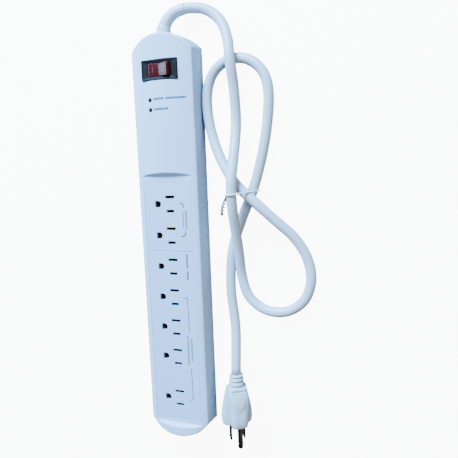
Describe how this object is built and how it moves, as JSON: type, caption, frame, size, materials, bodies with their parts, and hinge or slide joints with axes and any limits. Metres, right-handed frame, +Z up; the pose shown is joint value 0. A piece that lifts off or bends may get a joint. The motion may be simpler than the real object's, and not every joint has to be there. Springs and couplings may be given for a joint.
{
  "type": "surge protector power strip",
  "caption": "Long low power strip with a row of three-slot outlets in a recessed panel, a crowned hood with a rocker switch and two lamps, and a bundled cord with a grounded plug.",
  "frame": {"origin": "on the floor under the middle of the strip's case", "axes": "+Z up out of the outlet face, +Y along the strip towards the end the cord leaves, +X across the strip to the right seen from above with the cord end at the top"},
  "size_m": [0.1587, 0.3954, 0.0304],
  "materials": {
    "cover_plastic": "satin white, slightly blue",
    "base_plastic": "satin white",
    "panel_plastic": "satin pale blue grey",
    "contact_brass": "rolled",
    "board": "green laminate",
    "varistor": "dipped epoxy",
    "relay_case": "moulded",
    "ferrite": "coated",
    "capacitor_film": "moulded",
    "fuse_metal": "plated",
    "lamp_lens": "unlit, dark",
    "switch_black": "satin",
    "rocker_red": "translucent red",
    "wire_black": "insulation",
    "wire_white": "insulation",
    "wire_green": "insulation",
    "wire_red": "insulation",
    "screw_steel": "zinc plated",
    "cord_jacket": "soft vinyl, satin",
    "tie_paper": "plastic coated wire",
    "plug_vinyl": "moulded vinyl",
    "plug_brass": "plated, dark"
  },
  "bodies": {
    "strip": {"top_cover": "cover_plastic", "base_shell": "base_plastic", "outlet_panel": "panel_plastic", "neutral_bus": "contact_brass", "always_on_bus": "contact_brass", "control_bus": "contact_brass", "switched_bus": "contact_brass", "ground_bus": "contact_brass", "circuit_board": "board", "varistors": "varistor", "relay": "relay_case", "current_sensor": "ferrite", "filter_capacitor": "capacitor_film", "thermal_fuse": "fuse_metal", "protection_lamp": "lamp_lens", "ground_lamp": "lamp_lens", "switch_housing": "switch_black", "switch_terminals": "contact_brass", "line_lead": "wire_black", "neutral_lead": "wire_white", "ground_lead": "wire_green", "switch_lead": "wire_red", "always_on_lead": "wire_red", "control_lead": "wire_black", "switched_lead": "wire_green", "case_screws": "screw_steel", "cord_gland": "cord_jacket", "cord": "cord_jacket", "twist_tie": "tie_paper", "plug_body": "plug_vinyl", "line_blade": "plug_brass", "neutral_blade": "plug_brass", "ground_pin": "plug_brass"},
    "rocker": {"rocker": "rocker_red"}
  },
  "joints": [
    {"name": "rocker_tilt", "type": "hinge", "parent": "strip", "child": "rocker", "pos_m": [0, 0.152, 0.02146], "axis": [0, 1, 0], "range_deg": [0, 20]}
  ]
}
